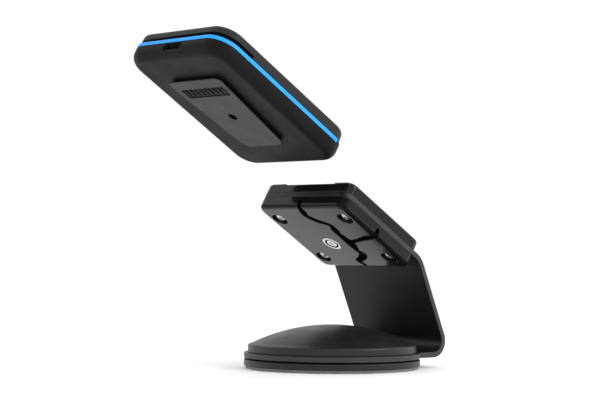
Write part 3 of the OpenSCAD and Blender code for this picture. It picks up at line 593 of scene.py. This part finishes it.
def well(rim_r, wall_r, lip_depth, depth, centre, steps):
    """Round cutter into the cover's face, with a small rounded mouth."""
    mouth_r = rim_r + 0.5
    profile = [(0, -CUT_PAST), (mouth_r, -CUT_PAST), (mouth_r, 0), (rim_r + 0.15, lip_depth), (wall_r, 0.5),
               (wall_r, depth), (0, depth)]
    return lathe([(r, FACE + z) for r, z in profile], centre, steps=steps)


cutters += [well(WELL_R, WELL_R, 0.12, WELL_DEPTH, centre, 48) for centre in SCREWS]
cutters.append(well(LOCK_R, LOCK_R + 0.1, 0.15, 6, LOCK, 64))
cover_skin = piece(combine(cover_body, cutters, folded=True), "dock_cover_skin", DOCK, "stand",
                   [M["dock_plastic"], M["well"]], ["dock_cover"])


def in_channel(centre, normal):
    """The channels' floors and sides: left matt by the mould, and painted darker for the shade that falls in them.
    """
    x, y, z = BACK @ (centre - DOCK)
    skin = 0.4
    within_sides = abs(x) < DOCK_W / 2 - skin and skin < y < DOCK_L - skin
    inside = FACE + 0.6 < z < -PLATE_T - 0.3 and within_sides
    off_lock = math.hypot(x - LOCK[0], y - LOCK[1]) > LOCK_R + 0.5
    off_wells = min(math.hypot(x - a, y - b) for a, b in SCREWS) > WELL_R + 0.3
    return int(inside and off_lock and off_wells)


by_face(cover_skin, in_channel)

RAIL_H = box_in("dock_tray", DOCK)[1].z
PAD_RISE = 0.08
CHANNEL_FLOOR = box_in("channel_pads", DOCK)[1].z - PAD_RISE
plate_lo, plate_hi = box_in("slide_plate", TERMINAL)
WEDGE_Y = (plate_lo.y, plate_hi.y)
WEDGE_HALF = (20.1, 27.3)
WEDGE_R = (6.5, 4.5)
WEDGE_SLOPE = (WEDGE_HALF[1] - WEDGE_HALF[0]) / (WEDGE_Y[1] - WEDGE_Y[0])
FLANGE_T, NECK_INSET, CHANNEL_GAP = 1.1, 1.8, 0.3
TRAVEL = -JOINT["terminal_slide"]["range_m"][0] / MM
DOCKED_Y = ((TERMINAL - DOCK) @ ALONG) - TRAVEL


def wedge(inset, shift=0.0, open_end=0.0):
    """Outline of the slide plate, pulled in by inset; open_end carries its sides straight on."""
    lean = math.atan(WEDGE_SLOPE)
    y0, y1 = WEDGE_Y[0] + inset, WEDGE_Y[1] - inset
    r0, r1 = WEDGE_R[0] - inset, WEDGE_R[1] - inset
    half = WEDGE_HALF[0] - inset / math.cos(lean)
    low_y, high_y = y0 + r0, y1 - r1
    low_x = half + WEDGE_SLOPE * (low_y - WEDGE_Y[0]) - r0 / math.cos(lean)
    high_x = half + WEDGE_SLOPE * (high_y - WEDGE_Y[0]) - r1 / math.cos(lean)
    tip = math.degrees(lean)
    right = arc((low_x, low_y), r0, -90, -tip, 8)
    if open_end:
        end = WEDGE_Y[1] + open_end
        right += [(half + WEDGE_SLOPE * (end - WEDGE_Y[0]), end)]
    else:
        right += arc((high_x, high_y), r1, -tip, 90, 8)
    return [(x, y + shift) for x, y in right] + [(-x, y + shift) for x, y in reversed(right)]


# OPEN_END is how far the channel's cutter runs on past the slide plate's wide end
TRAY_WALL, BOSS_R, OPEN_END = 3, 5, 20
UNDERCUT, NECK_LOW = 1.45, 0.7
tray_body = plate(dock_outline, edge_profile(0, RAIL_H, 0.3, 2.7, 7))
tray_inside = rounded_rect(DOCK_W - 2 * TRAY_WALL, DOCK_L - 2 * TRAY_WALL, DOCK_R - TRAY_WALL, y0=TRAY_WALL)
tray_room = prism(tray_inside, -1, CHANNEL_FLOOR - 1)
tray_bosses = [lathe([(0, -2), (BOSS_R, -2), (BOSS_R, CHANNEL_FLOOR), (0, CHANNEL_FLOOR)], centre, steps=32)
               for centre in SCREWS]
tray_cutters = [combine(tray_room, tray_bosses),
                prism(wedge(-CHANNEL_GAP, DOCKED_Y, OPEN_END), CHANNEL_FLOOR, CHANNEL_FLOOR + UNDERCUT),
                prism(wedge(NECK_INSET - CHANNEL_GAP, DOCKED_Y, OPEN_END), CHANNEL_FLOOR + NECK_LOW,
                      RAIL_H + CUT_PAST)]
bolt_lo, bolt_hi = box_in("lock_bolt", DOCK)
BOLT = ((bolt_lo.x + bolt_hi.x) / 2, (bolt_lo.y + bolt_hi.y) / 2)
BOLT_R = (bolt_hi.x - bolt_lo.x) / 2
BOLT_PLAY, BOLT_MOUTH = 0.08, 0.5
tray_cutters.append(lathe([(0, 2), (BOLT_R + BOLT_PLAY, 2), (BOLT_R + BOLT_PLAY, CHANNEL_FLOOR - 0.4),
                           (BOLT_R + BOLT_MOUTH, CHANNEL_FLOOR), (BOLT_R + BOLT_MOUTH, RAIL_H + CUT_PAST),
                           (0, RAIL_H + CUT_PAST)], BOLT, steps=48))
piece(combine(tray_body, tray_cutters), "dock_tray_skin", DOCK, "stand", M["dock_plastic"], ["dock_tray"],
      bevel=0.18)

SEAT, HEX_R, HEX_DEPTH = FACE + WELL_DEPTH, 1.65, 1.7
SCREW_RIM, SCREW_UNDER = 0.5, 0.3
for index, centre in enumerate(SCREWS):
    top = SEAT - SCREW_HEAD_H
    dome = [(0, SEAT + SCREW_UNDER), (SCREW_HEAD_R - 0.25, SEAT + SCREW_UNDER), (SCREW_HEAD_R, SEAT),
            (SCREW_HEAD_R, SEAT - SCREW_RIM)]
    for angle in map(math.radians, (78, 66, 54, 44, 36, 29)):
        rise = (SCREW_HEAD_H - SCREW_RIM) * (1 - math.cos(angle))
        dome.append((SCREW_HEAD_R * math.sin(angle), top + rise))
    dome += [(2.1, top + 0.16), (1.9, top), (0, top)]
    turned = 17 + 31 * index  # each screw stopped at its own angle
    hexagon = arc(centre, HEX_R, turned, turned + 300, 5)
    piece(combine(lathe(dome, centre, steps=48), [prism(hexagon, top - 1, top + HEX_DEPTH)]),
          f"dock_screw_{index + 1}", DOCK, "stand", M["stainless"], ["dock_screws"] if index == 0 else (),
          bevel=0.08)

RING_IN, PLUG_R, FACE_R = 5.4, 4.85, 4.1
SLIT_W, SLIT_HALF, SLIT_DEPTH = 0.7, 2.1, 1.8
lock_face = lock_lo.z


def lock_lathe(pairs):
    """Turned part round the lock's axis from (radius, depth below the ring's face) pairs."""
    return lathe([(r, lock_face + depth) for r, depth in pairs], LOCK)


ring = lock_lathe([(0, 6), (LOCK_R, 6), (LOCK_R, 0.5), (LOCK_R - 0.15, 0.15), (LOCK_R - 0.5, 0),
                   (RING_IN + 0.35, 0), (RING_IN + 0.05, 0.15), (RING_IN, 0.5), (RING_IN, 2.6), (0, 2.6)])
piece(combine(ring), "lock_ring", DOCK, "stand", M["stainless"], ["lock_housing"])
plug = lock_lathe([(0, 2.4), (PLUG_R, 2.4), (PLUG_R, 1.5), (PLUG_R - 0.15, 1.3), (FACE_R, 1.3),
                   (FACE_R, 0.45), (FACE_R - 0.25, 0.2), (0, 0.2)])
key_slit = block(LOCK[0], SLIT_W, LOCK[1] - SLIT_HALF, LOCK[1] + SLIT_HALF, lock_face - 1,
                 lock_face + SLIT_DEPTH)
# The plug's second material is painted shade for its groove below the bright face
plug_skin = piece(combine(plug, [key_slit]), "lock_plug_skin", DOCK, "lock", [M["stainless"], M["well"]],
                  ["lock_plug"], bevel=0.06)


def in_lock_groove(centre, normal):
    """Everything below the plug's bright face, which sits in the shade of the ring."""
    return int((BACK @ (centre - DOCK)).z > lock_face + 0.7)


by_face(plug_skin, in_lock_groove)

# ---------------------------------------------------------------- terminal case

case_lo, case_hi = box_in("case_back", TERMINAL)
CASE_W, CASE_L, CASE_R, CASE_ROUND = case_hi.x - case_lo.x, case_hi.y, 16.5, 7.2
band_lo, band_hi = box_in("accent_band", TERMINAL)
BAND_H, BAND_END, BAND_T = band_hi.z, band_lo.y, 1.6
WALL = 2


def case_outline(inset):
    return rounded_rect(CASE_W, CASE_L, CASE_R, inset=inset, steps=14)


def chamfered(x, width, z, height, cut):
    """Rectangle in x and z whose upper corner on the +X side is cut off."""
    a, b, low, high = x - width / 2, x + width / 2, z - height / 2, z + height / 2
    return [(a, low), (b, low), (b, high - cut), (b - cut, high), (a, high)]


def port_cutter(outline, y0, y1):
    return loft([[(x, y0, z) for x, z in outline], [(x, y1, z) for x, z in outline]])


def low_end(high):
    """Cutter over the case's low end, where the band stops."""
    return block(0, CASE_W + 20, -20, BAND_END, -1, high)


STEP_OVER = 3  # how far the step's cutter stands outside the case
back_body = plate(case_outline, edge_profile(case_lo.z, BAND_H, CASE_ROUND, 0.25, 12))
ring_out = rounded_rect(CASE_W + 2 * STEP_OVER, CASE_L + 2 * STEP_OVER, CASE_R + STEP_OVER, y0=-STEP_OVER)
ring_in = rounded_rect(CASE_W - 2 * BAND_T, CASE_L - BAND_T, CASE_R - BAND_T, steps=14)
step_cut = combine(prism(ring_out, 0, BAND_H + 2), [prism(ring_in, -1, BAND_H + 4), low_end(BAND_H + 4)])
cavity = plate(lambda i: case_outline(i + WALL),
               edge_profile(case_lo.z + WALL, BAND_H + 2, CASE_ROUND - WALL, 0, 8))
usb_lo, usb_hi = box_in("usb_connector", TERMINAL)
PORT_X = (usb_lo.x + usb_hi.x) / 2
port_recess = chamfered(PORT_X, 18.6, -4.1, 6, 2.2)
port_opening = chamfered(PORT_X, 14.4, -3.6, 3.2, 1.4)
CARD_SLOT_W, CARD_SLOT_LOW, CARD_SLOT_HIGH = 56, 0.3, 2.5
case_cutters = [step_cut, cavity, port_cutter(port_recess, CASE_L - 1.2, CASE_L + 3),
                port_cutter(port_opening, CASE_L - 6, CASE_L + 3),
                block(0, CARD_SLOT_W, -CUT_PAST, 5, CARD_SLOT_LOW, CARD_SLOT_HIGH)]
piece(combine(back_body, case_cutters), "case_back_skin", TERMINAL, "terminal", M["case_plastic"],
      ["case_back"], bevel=0.3, segments=3)

BAND_PROUD = 0.2


def band_outline(inset):
    return rounded_rect(CASE_W + 2 * BAND_PROUD, CASE_L + 2 * BAND_PROUD, CASE_R + BAND_PROUD, y0=-BAND_PROUD,
                        inset=inset, steps=14)


band_body = plate(band_outline, edge_profile(0.02, BAND_H - 0.02, 0.25, 0.25, 3))
band_room = rounded_rect(CASE_W - 2 * BAND_T + 0.02, CASE_L - BAND_T + 0.01, CASE_R - BAND_T, steps=14)
piece(combine(band_body, [prism(band_room, -1, BAND_H + 1), low_end(BAND_H + 1)]), "accent_band_skin",
      TERMINAL, "terminal", M["accent_blue"], ["accent_band"], bevel=0.12)

flange = plate(wedge, edge_profile(plate_lo.z, plate_lo.z + FLANGE_T, 0.3, 0.15, 3))
neck = plate(lambda i: wedge(NECK_INSET + i), edge_profile(plate_lo.z + FLANGE_T - 0.4, plate_hi.z, 0, 0, 1))
HOLE_R, HOLE_LIP = 3.4, 3.75
hole_y = BOLT[1] - DOCKED_Y
hole = lathe([(0, plate_lo.z - 1), (HOLE_LIP, plate_lo.z - 1), (HOLE_LIP, plate_lo.z),
              (3.5, plate_lo.z + 0.1), (HOLE_R, plate_lo.z + 0.35), (HOLE_R, plate_hi.z + 1),
              (0, plate_hi.z + 1)], (BOLT[0], hole_y), steps=48)
LABEL_X, LABEL_W, LABEL_LOW, LABEL_HIGH = -0.5, 43, 89.2, 98.8
label_profile = [(-0.25, -1), (-0.25, 0), (0, 0.25), (0, 0.7)]
label_cut = plate(lambda i: rounded_rect(LABEL_W, LABEL_HIGH - LABEL_LOW, 1, y0=LABEL_LOW, inset=i, steps=4),
                  [(inset, plate_lo.z + depth) for inset, depth in label_profile])
label_cut.transform(Matrix.Translation((LABEL_X, 0, 0)))
slide_skin = piece(combine(flange, [hole.copy(), label_cut], [combine(neck, [hole])]), "slide_plate_skin",
                   TERMINAL, "terminal", [M["slide_metal"], M["slide_side"]], ["slide_plate"])


def slide_side(centre, normal):
    """Everything below the face and its rounded rim: undercut edge, hole and label floor, painted near-black as
    painted shade.
    """
    depth = (BACK @ (centre - TERMINAL)).z - plate_lo.z
    return int(depth > 0.28)


by_face(slide_skin, slide_side)
RIBS, RIB_W, RIB_MARGIN = 9, 2.5, 1.5
RIB_L = LABEL_HIGH - LABEL_LOW - 2 * RIB_MARGIN
rib_profile = [(0.25, plate_lo.z + 0.12), (0.05, plate_lo.z + 0.17), (0, plate_lo.z + 0.32),
               (0, plate_lo.z + 0.75)]
for index in range(RIBS):
    rib_x = LABEL_X - LABEL_W / 2 + LABEL_W * (index + 0.5) / RIBS
    rib = plate(lambda i: rounded_rect(RIB_W, RIB_L, 1, y0=LABEL_LOW + RIB_MARGIN, inset=i, steps=4),
                rib_profile)
    rib.transform(Matrix.Translation((rib_x, 0, 0)))
    # The ribs take the same painted shade as the label recess they stand in
    piece(rib, f"label_rib_{index + 1}", TERMINAL, "terminal", M["slide_side"], ())

top_lo, top_hi = box_in("top_cover", TERMINAL)
TOP_W, TOP_L, TOP_R, TOP_ROUND = top_hi.x - top_lo.x, top_hi.y - top_lo.y, 15.3, 3
guide_lo, guide_hi = box_in("swipe_guide", TERMINAL)
SLOT_TOP, SLOT_Y, SLOT_WALL = guide_hi.z, guide_lo.y + 2, 2.2
window_lo, window_hi = box_in("display_window", TERMINAL)
window_w, window_l = window_hi.x - window_lo.x, window_hi.y - window_lo.y
top_body = plate(lambda i: rounded_rect(TOP_W, TOP_L, TOP_R, y0=top_lo.y, inset=i, steps=14),
                 edge_profile(top_lo.z, top_hi.z, 0.2, TOP_ROUND, 8))
SKIN_LOW = top_hi.z - 1.8
MODULE_W, WINDOW_LEDGE, WINDOW_GAP = 66, 3, 0.2


def opening(outline, low):
    """Cutter for an opening in the top face, with a small chamfer."""
    return plate(outline, [(0, low), (0, top_hi.z - 0.3), (-0.3, top_hi.z), (-0.3, top_hi.z + 1)])


def window_outline(inset):
    return rounded_rect(window_w + 2 * WINDOW_GAP, window_l + 2 * WINDOW_GAP, 3.2,
                        y0=window_lo.y - WINDOW_GAP, inset=inset, steps=8)


room_l = SLOT_Y - SLOT_WALL - top_lo.y - WALL
top_cutters = [block(0, CASE_W + 4, SLOT_Y, CASE_L + 4, -2, SLOT_TOP),
               prism(rounded_rect(TOP_W - 2 * WALL, room_l, 9, y0=top_lo.y + WALL), -1, SKIN_LOW),
               block(0, TOP_W - 4.8, SLOT_Y - 6, SLOT_Y + 0.1, -1.5, SLOT_TOP - 0.01),
               block(0, MODULE_W, window_lo.y + WINDOW_LEDGE, window_hi.y - WINDOW_LEDGE, 8.2, top_hi.z + 1),
               opening(window_outline, window_lo.z)]
KEYS = [n for n in frame["nodes"] if n.startswith("key_")]
KEY_LAP, KEY_HOLE_LOW = 0.4, 9  # how far a key's flange runs under the cover, and where its hole starts
for name in KEYS:
    lo, hi = box_in(name, TERMINAL)
    x, y = (lo.x + hi.x) / 2, (lo.y + hi.y) / 2
    w, l = hi.x - lo.x - 2 * KEY_LAP, hi.y - lo.y - 2 * KEY_LAP
    hole_mesh = opening(lambda i: rounded_rect(w, l, 2.3, y0=y - l / 2, inset=i, steps=6), KEY_HOLE_LOW)
    hole_mesh.transform(Matrix.Translation((x, 0, 0)))
    top_cutters.append(hole_mesh)
button_lo, button_hi = box_in("power_button", TERMINAL)
BUTTON_Y, BUTTON_Z = (button_lo.y + button_hi.y) / 2, (button_lo.z + button_hi.z) / 2


def pill_ring(length, width, x, steps):
    """Pill-shaped ring round the power button's centre, long way along y, in the plane at x."""
    half = (length - width) / 2
    outline = arc((half, 0), width / 2, -90, 90, steps) + arc((-half, 0), width / 2, 90, 270, steps)
    return [(x, BUTTON_Y + a, BUTTON_Z + b) for a, b in outline]


top_cutters.append(loft([pill_ring(12.5, 3.1, x, 8) for x in (TOP_W / 2 - 4.2, TOP_W / 2 + 2)]))
piece(combine(top_body, top_cutters), "top_cover_skin", TERMINAL, "terminal", M["case_top"], ["top_cover"],
      bevel=0.25, segments=3)

# ---------------------------------------------------------------- keys, window and button

KEY_FLANGE, KEY_R, KEY_ROUND = 0.7, 2.8, 0.9
SKIRT_LOW, SKIRT_TOP, KEY_SINK = 0.05, 0.75, 0.04
LEGEND_SIZE, LEGEND_T = 6.2, 0.05


def add_text(bm, words, size, x, y, z, thickness, index):
    """Adds lettering to a mesh, in the plane of x and y from z upwards, with its own material index."""
    curve = bpy.data.curves.new("words", "FONT")
    curve.body, curve.size, curve.extrude = words, size, thickness / 2
    curve.align_x, curve.align_y, curve.resolution_u = "CENTER", "CENTER", 4
    holder = bpy.data.objects.new("words", curve)
    bpy.context.scene.collection.objects.link(holder)
    bpy.context.view_layer.update()
    mesh = bpy.data.meshes.new_from_object(holder.evaluated_get(bpy.context.evaluated_depsgraph_get()))
    mesh.transform(Matrix.Translation((x, y, z + thickness / 2)))
    for face in mesh.polygons:
        face.material_index = index
    mesh.update()
    bm.from_mesh(mesh)
    bpy.data.objects.remove(holder)


LEGENDS = {"key_star": "*", "key_hash": "#", "key_cancel": "X", "key_clear": "<", "key_enter": "O"}
KEY_SLOT = {entry["node"]: entry["material_slot"] for entry in frame["record"]["subparts"]}
BODIES = frame["record"]["behaviour"]["bodies"]
KEY_BODY = {node: body for body, members in BODIES.items() for node in members}
for name in KEYS:
    lo, hi = box_in(name, TERMINAL)
    w, l = hi.x - lo.x - 2 * KEY_FLANGE, hi.y - lo.y - 2 * KEY_FLANGE
    x, y, top = (lo.x + hi.x) / 2, (lo.y + hi.y) / 2, hi.z - KEY_SINK
    skirt = [(-KEY_FLANGE, lo.z + SKIRT_LOW), (-KEY_FLANGE, lo.z + SKIRT_TOP), (0, lo.z + SKIRT_TOP)]
    cap = [(KEY_ROUND * (1 - math.cos(t)), top - 0.1 - KEY_ROUND * (1 - math.sin(t)))
           for t in (0, 0.26, 0.52, 0.79, 1.05, 1.31, 1.57)]
    crown = [(1.6, top - 0.04), (2.4, top)]
    key = plate(lambda i: rounded_rect(w, l, KEY_R, y0=y - l / 2, inset=i, steps=6), skirt + cap + crown)
    key.transform(Matrix.Translation((x, 0, 0)))
    words = LEGENDS.get(name, name[-1])
    drop = 0.9 if words == "*" else 0  # a star sits high on its line
    add_text(key, words, LEGEND_SIZE, x, y - drop, top - 0.02, LEGEND_T, 1)
    piece(key, name + "_skin", TERMINAL, KEY_BODY[name], [M[KEY_SLOT[name]], M["legend"]], [name])

GLASS_TOP = window_hi.z - 0.06
glass = plate(lambda i: rounded_rect(window_w, window_l, 3, y0=window_lo.y, inset=i, steps=8),
              edge_profile(window_lo.z, GLASS_TOP, 0.1, 0.3, 4))
piece(glass, "display_window_skin", TERMINAL, "terminal", M["window_glass"], ["display_window"])
PANEL_W, PANEL_L = window_w - 14, window_l - 14
panel_y = window_lo.y + 4.5
panel = plate(lambda i: rounded_rect(PANEL_W, PANEL_L, 0.6, y0=panel_y, inset=i, steps=3),
              [(0, GLASS_TOP - 0.05), (0, GLASS_TOP + 0.015), (0.02, GLASS_TOP + 0.02)])
INK_LOW, INK = GLASS_TOP + 0.01, 0.02
add_text(panel, "0.00", 13, 0, panel_y + PANEL_L * 0.5, INK_LOW, INK, 1)
panel_top = panel_y + PANEL_L
RULE_W = PANEL_W - 4
add_text(panel, "READY", 4.2, -PANEL_W / 2 + 9.5, panel_top - 3.4, INK_LOW, INK, 1)
# Two rules across, four signal bars and four labels, each as (centre, width, low y, high y)
ink_blocks = [(0, RULE_W, panel_top - 7, panel_top - 6.6), (0, RULE_W, panel_y + 6.2, panel_y + 6.6)]
ink_blocks += [(PANEL_W / 2 - 9 + 2.1 * i, 1.5, panel_top - 5, panel_top - 4 + 0.6 * i) for i in range(4)]
ink_blocks += [(-PANEL_W / 2 + 6 + 15.3 * i, 9, panel_y + 2, panel_y + 4.6) for i in range(4)]
for ink in ink_blocks:
    mark = block(*ink, INK_LOW, INK_LOW + INK)
    for face in mark.faces:
        face.material_index = 1
    marks = bpy.data.meshes.new("marks")
    mark.to_mesh(marks)
    mark.free()
    panel.from_mesh(marks)
piece(panel, "screen_panel", TERMINAL, "terminal", [M["screen"], M["screen_ink"]], ())
LAMPS, LAMP_STEP, LAMP_R, LAMP_Y = 4, 10, 1.5, window_hi.y - 4.6
for index in range(LAMPS):
    lamp_x = LAMP_STEP * (index - (LAMPS - 1) / 2)
    lamp = lathe([(0, GLASS_TOP - 0.1), (LAMP_R, GLASS_TOP - 0.1), (LAMP_R, GLASS_TOP + 0.01),
                  (LAMP_R - 0.3, GLASS_TOP + 0.04), (0, GLASS_TOP + 0.05)], (lamp_x, LAMP_Y), steps=24)
    piece(lamp, f"status_lamp_{index + 1}", TERMINAL, "terminal",
          M["lamp_off" if index else "lamp_green"], ())

BUTTON_L, BUTTON_W, BUTTON_ROUND = button_hi.y - button_lo.y - 1.4, button_hi.z - button_lo.z - 0.7, 0.5
button_rings = [(0, button_lo.x), (0, button_hi.x - BUTTON_ROUND)]
button_rings += [(BUTTON_ROUND * (1 - math.cos(t)), button_hi.x - BUTTON_ROUND + BUTTON_ROUND * math.sin(t))
                 for t in (0.3, 0.6, 0.9, 1.2, 1.57)]
button = loft([pill_ring(BUTTON_L - 2 * i, BUTTON_W - 2 * i, x, 10) for i, x in button_rings])
piece(button, "power_button_skin", TERMINAL, "power_key", M["button_plastic"], ["power_button"])

# ---------------------------------------------------------------- camera, floor and light

AZIMUTH, PITCH, ROLL = 226.761, 1.399, 0.391
EYE = Vector((-939.1, 916.0, 87.7)) * MM
camera_data = bpy.data.cameras.new("camera")
camera_data.sensor_fit, camera_data.sensor_width, camera_data.lens = "HORIZONTAL", 36, 108.08
camera_data.clip_start, camera_data.clip_end = 0.05, 60
camera = bpy.data.objects.new("camera", camera_data)
az, pitch, roll = map(math.radians, (AZIMUTH, PITCH, ROLL))
view_back = Vector((math.sin(az), -math.cos(az), 0))
forward = -view_back * math.cos(pitch) + Vector((0, 0, 1)) * math.sin(pitch)
right = forward.cross(Vector((0, 0, 1))).normalized()
up = right.cross(forward)
right, up = right * math.cos(roll) + up * math.sin(roll), up * math.cos(roll) - right * math.sin(roll)
camera.matrix_world = Matrix.Translation(EYE) @ Matrix((right, up, -forward)).transposed().to_4x4()
bpy.context.scene.collection.objects.link(camera)
bpy.context.scene.camera = camera

floor_mesh = bpy.data.meshes.new("floor")
bm = bmesh.new()
bmesh.ops.create_grid(bm, x_segments=2, y_segments=2, size=14)
bm.to_mesh(floor_mesh)
bm.free()
floor = bpy.data.objects.new("floor", floor_mesh)
bpy.context.scene.collection.objects.link(floor)
floor_mesh.materials.append(material("floor_pale", grey(0.965), 0.6, specular=0.1, mottle=0.004, grain=3,
                                     grain_depth=0.001))

world = bpy.data.worlds.new("studio")
world.use_nodes = True
world.node_tree.nodes["Background"].inputs["Color"].default_value = (1, 1, 1, 1)
world.node_tree.nodes["Background"].inputs["Strength"].default_value = 1.04
bpy.context.scene.world = world


def softbox(name, place, size, power):
    data = bpy.data.lights.new(name, "AREA")
    data.shape, data.size, data.energy = "SQUARE", size, power
    lamp = bpy.data.objects.new(name, data)
    lamp.location = place
    lamp.rotation_euler = (-Vector(place)).to_track_quat("-Z", "Y").to_euler()
    bpy.context.scene.collection.objects.link(lamp)


softbox("key_light", (-2.0, -0.9, 1.4), 1.1, 24)
softbox("top_light", (0.5, -0.5, 2.4), 1.2, 7)
bpy.context.scene.view_settings.view_transform = "Standard"
